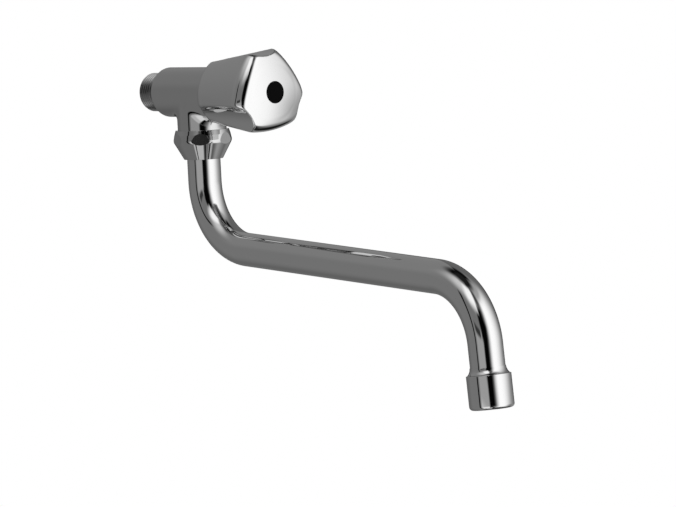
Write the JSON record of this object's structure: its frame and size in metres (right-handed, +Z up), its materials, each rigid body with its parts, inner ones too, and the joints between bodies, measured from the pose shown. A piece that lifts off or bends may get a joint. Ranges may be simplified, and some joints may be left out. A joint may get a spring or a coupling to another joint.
{
  "type": "wall-mounted swivel spout tap",
  "caption": "Chrome wall tap with a lobed turning handle that lifts a washer off its seat, and a long S-shaped spout that swivels under the body and ends in an aerator.",
  "frame": {"origin": "centre of the wall face, where the inlet thread leaves the body, on the body's axis", "axes": "+Y into the wall along the inlet thread, -Y towards the user, +X to the user's right, +Z up"},
  "size_m": [0.0473, 0.2764, 0.1834],
  "materials": {
    "chrome": "polished",
    "brass": "machined",
    "steel": "satin",
    "rubber": "matte",
    "nylon": "satin",
    "black_plastic": "gloss"
  },
  "bodies": {
    "tap_body": {"valve_body": "chrome", "bonnet": "brass", "bonnet_gasket": "rubber", "spout_nut": "chrome", "upper_slide_ring": "nylon", "lower_slide_ring": "steel"},
    "handle": {"spindle": "brass", "spindle_seals": "rubber", "spindle_circlip": "steel", "glide_washer": "nylon", "handle_shell": "chrome", "handle_adapter": "nylon", "handle_screw": "steel", "index_cap": "black_plastic"},
    "piston": {"valve_piston": "brass", "seat_washer": "rubber", "washer_screw": "brass"},
    "spout": {"swivel_sleeve": "brass", "swivel_seals": "rubber", "spout_tube": "chrome", "outlet_fitting": "chrome", "aerator_housing": "chrome", "aerator_gasket": "rubber", "aerator_insert": "nylon", "aerator_screens": "steel"}
  },
  "joints": [
    {"name": "spout_swivel", "type": "hinge", "parent": "tap_body", "child": "spout", "pos_m": [0, -0.028, -0.03], "axis": [0, 0, 1], "range_deg": [-90, 90]},
    {"name": "handle_turn", "type": "hinge", "parent": "tap_body", "child": "handle", "pos_m": [0, -0.06, 0], "axis": [0, -1, 0], "range_deg": [0, 900]},
    {"name": "piston_lift", "type": "slide", "parent": "tap_body", "child": "piston", "axis": [0, -1, 0], "range_m": [0, 0.0045]}
  ],
  "couplings": [
    {"joint": "piston_lift", "follows": "handle_turn", "m_per_rad": 0.00028648}
  ]
}
